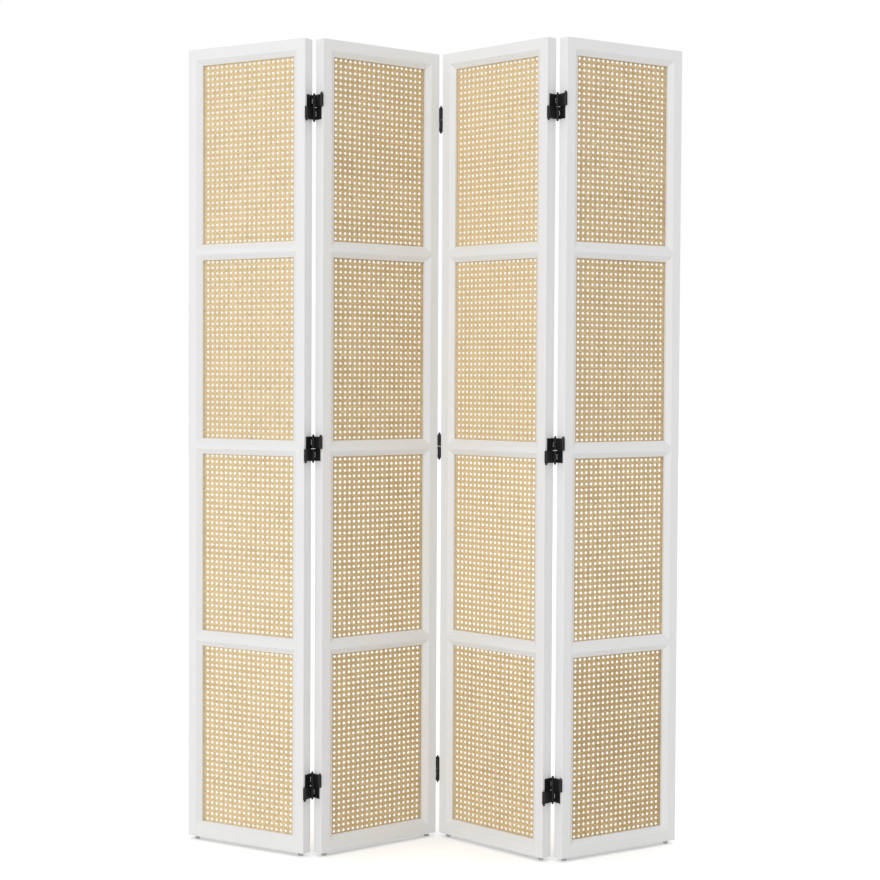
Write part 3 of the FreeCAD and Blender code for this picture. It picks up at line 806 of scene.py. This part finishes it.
# %% Pins of one leaf
PIN_RADIUS = 2.0 * MM
COLLAR_RADIUS = 3.0 * MM
COLLAR_HEIGHT = 1.0 * MM
TIP_RADIUS = 2.5 * MM
TIP_RISE = 0.5 * TIP_RADIUS
TIP_START = -35
TIP_END = 88
TIP_ROWS = 9


def pin_profile():
    """Shaft, collar and a ball tip that starts where the ball meets the collar."""
    collar_top = half_top + COLLAR_HEIGHT
    angles = np.radians(np.linspace(TIP_START, TIP_END, TIP_ROWS))
    ball_heights = collar_top + TIP_RISE + TIP_RADIUS * np.sin(angles)
    ball = np.column_stack([TIP_RADIUS * np.cos(angles), ball_heights])
    shaft = [
        (PIN_RADIUS - EASE, half_foot),
        (PIN_RADIUS, half_foot + EASE),
        (PIN_RADIUS, half_top),
        (COLLAR_RADIUS, half_top),
        (COLLAR_RADIUS, collar_top - EASE),
        (COLLAR_RADIUS - EASE, collar_top),
    ]
    return np.concatenate([shaft, ball[ball[:, 1] > collar_top]])


def pins_shell():
    """The two pins of a leaf: one up its back barrels, and one down its front barrels."""
    shell = Shell()
    profile = pin_profile()
    upward = turned(profile, (0.0, barrel_axis, 0.0))
    shell.add(upward, tube_faces(len(profile), TURNED_SIDES))
    # Half a turn about X carries the upper back pin to the lower front.
    shell.add(upward * (1, -1, -1), tube_faces(len(profile), TURNED_SIDES))
    return shell


pins = pins_shell()
print("pins: %d vertices" % pins.count)

# %% Screws of one leaf
SCREW_ROW = 6.0 * MM
SCREW_RADIUS = 1.6 * MM
SCREW_HEAD = 3.2 * MM
SCREW_LENGTH = 20.0 * MM
SCREW_POINT = 4.0 * MM
SCREW_TIP = 0.4 * MM
SCREW_PROUD = 0.12 * MM
SCREW_SIDES = 32
HEAD_RIM = 0.25 * MM
HEAD_MIDDLE = 0.15 * MM
HEAD_ROWS = 9
RECESS_LENGTH = 3.4 * MM
RECESS_WIDTH = 0.8 * MM
RECESS_DEPTH = 1.1 * MM
RECESS_EDGE = 0.25 * MM


def recess_arm(along, across):
    """An arm of the cross: 1 inside it, falling to 0 over a short edge along and across it."""
    lengthwise = np.clip((RECESS_LENGTH / 2 - np.abs(along)) / RECESS_EDGE, 0.0, 1.0)
    crosswise = np.clip((RECESS_WIDTH / 2 - np.abs(across)) / RECESS_EDGE, 0.0, 1.0)
    return lengthwise * crosswise


def screws_shell():
    """Four countersunk screws: a turned profile whose head face sinks to the deeper of a cross's two arms."""
    shell = Shell()
    face = np.linspace(SCREW_HEAD - HEAD_RIM, HEAD_MIDDLE, HEAD_ROWS)
    profile = np.concatenate([
        [(SCREW_TIP, -SCREW_LENGTH), (SCREW_RADIUS, SCREW_POINT - SCREW_LENGTH), (SCREW_RADIUS, 0.0)],
        [(SCREW_HEAD, LEAF_THICKNESS)],
        np.column_stack([face, np.full(len(face), LEAF_THICKNESS + SCREW_PROUD)]),
    ])
    points = turned(profile, (-half_hinge_gap, 0.0, 0.0), "X", SCREW_SIDES)
    y, z = points[:, 1], points[:, 2]
    on_face = np.repeat(profile[:, 1] > LEAF_THICKNESS, SCREW_SIDES)
    points[:, 0] -= np.maximum(recess_arm(z, y), recess_arm(y, z)) * on_face * RECESS_DEPTH
    for rise in (half_foot + leaf_knuckle / 2, half_top - leaf_knuckle / 2):
        for sign in (1, -1):
            shell.add(points + (0.0, SCREW_ROW * sign, rise * sign), tube_faces(len(profile), SCREW_SIDES))
    return shell


screws = screws_shell()
print("screws: %d vertices" % screws.count)

# %% [markdown]
# The hinges are steel with a satin black coat. A powder coat is not a flat black: it has a fine orange-peel
# texture that breaks up highlights, and it polishes a little where parts rub.

# %% Black coat
COAT_BLACK = (0.008, 0.008, 0.009, 1)
COAT_RUBBED = (0.02, 0.02, 0.02, 1)
COAT_GLOSS = 0.3
COAT_ROUGHNESS = 0.44
PEEL_SCALE = 1500.0
PEEL_DULLING = 0.1
PEEL_BUMP = 0.25
PEEL_RELIEF = 0.08 * MM
RUB_SCALE = 160.0
RUB_DETAIL = 3.0
RUB_START = 0.55
RUB_GAIN = 4.0
RUB_POLISH = 0.12


def black_coat():
    """Black coat with an orange-peel noise; where a slower noise is high it is rubbed, paler and smoother."""
    coat = Finish("black_coat", Specular_IOR_Level=COAT_GLOSS)
    place = coat.place()
    peel = coat.noise(place, PEEL_SCALE)
    wear = ((coat.noise(place, RUB_SCALE, RUB_DETAIL) - RUB_START) * RUB_GAIN).held()
    coat.set(
        Base_Color=coat.mix(wear, COAT_BLACK, COAT_RUBBED),
        Roughness=COAT_ROUGHNESS - wear * RUB_POLISH + (peel - NOISE_MIDDLE) * PEEL_DULLING,
    )
    coat.bump(peel, PEEL_BUMP, PEEL_RELIEF)
    return coat.material


coat_finish = black_coat()
print("finish:", coat_finish.name)


# %% Hang the hinges
def hinge_set(shell, panel, side, turn=True):
    """Copies of a hinge piece up a panel's edge, a leaf's own pieces turned half round on a left edge."""
    gap_middle = WIDTH + half_hinge_gap if side == "right" else -half_hinge_gap
    half_round = np.array([-1.0, -1.0, 1.0]) if turn and side == "left" else np.ones(3)
    whole = Shell()
    for rise in HINGE_RISES:
        place = np.array([gap_middle, THICKNESS / 2, rise])
        whole.join(shell.moved(lambda points: on_panel(points * half_round + place, panel)))
    return whole


def hang(name, shell, panel, node):
    """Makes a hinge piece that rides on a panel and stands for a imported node."""
    return make_piece(name, shell, coat_finish, "panel_%d" % panel, [node])


bodies = frame["record"]["behaviour"]["bodies"]
body_of = {node: body for body, nodes in bodies.items() for node in nodes}
hinge_pieces = []
for left in PANELS[:-1]:
    right = left + 1
    junction = "hinges_%d_%d" % (left, right)
    for hand, panel, side in (("left", left, "right"), ("right", right, "left")):
        name = "%s_%s_leaf_plates" % (junction, hand)
        node = "%s_%s_leaves" % (junction, hand)
        hinge_pieces.append(hang(name, hinge_set(leaf, panel, side), panel, node))
    for level, link in (("upper", upper_link), ("lower", lower_link)):
        name = "%s_%s_link_plates" % (junction, level)
        node = "%s_%s_links" % (junction, level)
        owner, side = (left, "right") if body_of[node] == "panel_%d" % left else (right, "left")
        hinge_pieces.append(hang(name, hinge_set(link, owner, side, False), owner, node))
for panel in PANELS:
    edges = [side for side, end in (("left", PANELS[0]), ("right", PANELS[-1])) if panel != end]
    for kind, shell in (("hinge_pins", pins), ("hinge_screws", screws)):
        whole = Shell()
        for side in edges:
            whole.join(hinge_set(shell, panel, side))
        node = "panel_%d_%s" % (panel, kind)
        hinge_pieces.append(hang(node + "_turned", whole, panel, node))
print("hinge pieces:", len(hinge_pieces))

# %% [markdown]
# ## Floor, light and camera
# The photograph has a white ground with soft shadows under the feet. The floor is pale, and glows a little
# where it is seen directly, so that it reads as white away from the object while the shadow stays. An Ambient
# Occlusion node dims the glow close to the feet, where the shadow is deepest. The light is even from all
# round, with one broad lamp from the front left that makes the left-facing panels brighter.

# %% Floor
FLOOR_SIZE = 40.0
FLOOR_COLOUR = (0.9, 0.9, 0.9, 1)
FLOOR_ROUGHNESS = 0.9
FLOOR_GLOW = 0.42
DIMMEST_GLOW = 0.4
SHADOW_REACH = 0.14
SHADOW_SAMPLES = 16
ground = Finish("white_floor", Base_Color=FLOOR_COLOUR, Roughness=FLOOR_ROUGHNESS, Specular_IOR_Level=0.0,
                Emission_Strength=FLOOR_GLOW)
openness = ground.node("ShaderNodeAmbientOcclusion", {"samples": SHADOW_SAMPLES},
                       {"Distance": SHADOW_REACH}, "AO")
ground.set(Emission_Color=ground.seen_directly() * (DIMMEST_GLOW + openness * (1.0 - DIMMEST_GLOW)))
floor_mesh = bpy.data.meshes.new("floor")
corners = np.array([(-1, -1, 0), (1, -1, 0), (1, 1, 0), (-1, 1, 0)]) * FLOOR_SIZE / 2
floor_mesh.from_pydata(corners.tolist(), [], [(0, 1, 2, 3)])
floor_mesh.materials.append(ground.material)
floor = bpy.data.objects.new("floor", floor_mesh)
bpy.context.scene.collection.objects.link(floor)
print("floor:", FLOOR_SIZE, "m")

# %% World and lamp
WHITE = (1, 1, 1, 1)
AMBIENT = 0.77
BACKDROP = 1.0
KEY_STRENGTH = 1.1
KEY_DIRECTION = Vector((-0.57, -0.82, 0.08))
KEY_ANGLE = math.radians(50)
world = bpy.data.worlds.new("studio")
bpy.context.scene.world = world
world.use_nodes = True
studio = Nodes(world.node_tree)
surround = studio.node("ShaderNodeBackground", {}, {"Color": WHITE, "Strength": AMBIENT})
backdrop = studio.node("ShaderNodeBackground", {}, {"Color": WHITE, "Strength": BACKDROP})
sky = studio.node("ShaderNodeMixShader", {}, {0: studio.seen_directly(), 1: surround, 2: backdrop})
studio.put(studio.tree.nodes["World Output"].inputs["Surface"], sky)

key_data = bpy.data.lights.new("key", "SUN")
key_data.energy = KEY_STRENGTH
key_data.angle = KEY_ANGLE
key = bpy.data.objects.new("key", key_data)
key.rotation_euler = KEY_DIRECTION.to_track_quat("Z", "Y").to_euler()
bpy.context.scene.collection.objects.link(key)
print("light: ambient %.2f, key %.2f" % (AMBIENT, KEY_STRENGTH))

# %% Camera
IMAGE_SIDE = 880
FOCAL_PIXELS = 1860
SENSOR = 36.0
CAMERA_PLACE = Vector((0.0163, -4.191, 1.0692))
CAMERA_PITCH = 0.03416
CAMERA_ROLL = 0.00513
camera_data = bpy.data.cameras.new("camera")
camera_data.sensor_width = SENSOR
camera_data.lens = SENSOR * FOCAL_PIXELS / IMAGE_SIDE
camera = bpy.data.objects.new("camera", camera_data)
turn_down = Matrix.Rotation(math.pi / 2 - CAMERA_PITCH, 4, "X")
camera.matrix_world = Matrix.Translation(CAMERA_PLACE) @ turn_down @ Matrix.Rotation(CAMERA_ROLL, 4, "Z")
bpy.context.scene.collection.objects.link(camera)
bpy.context.scene.camera = camera
bpy.context.scene.view_settings.view_transform = "Standard"
print("lens %.1f mm" % camera_data.lens)
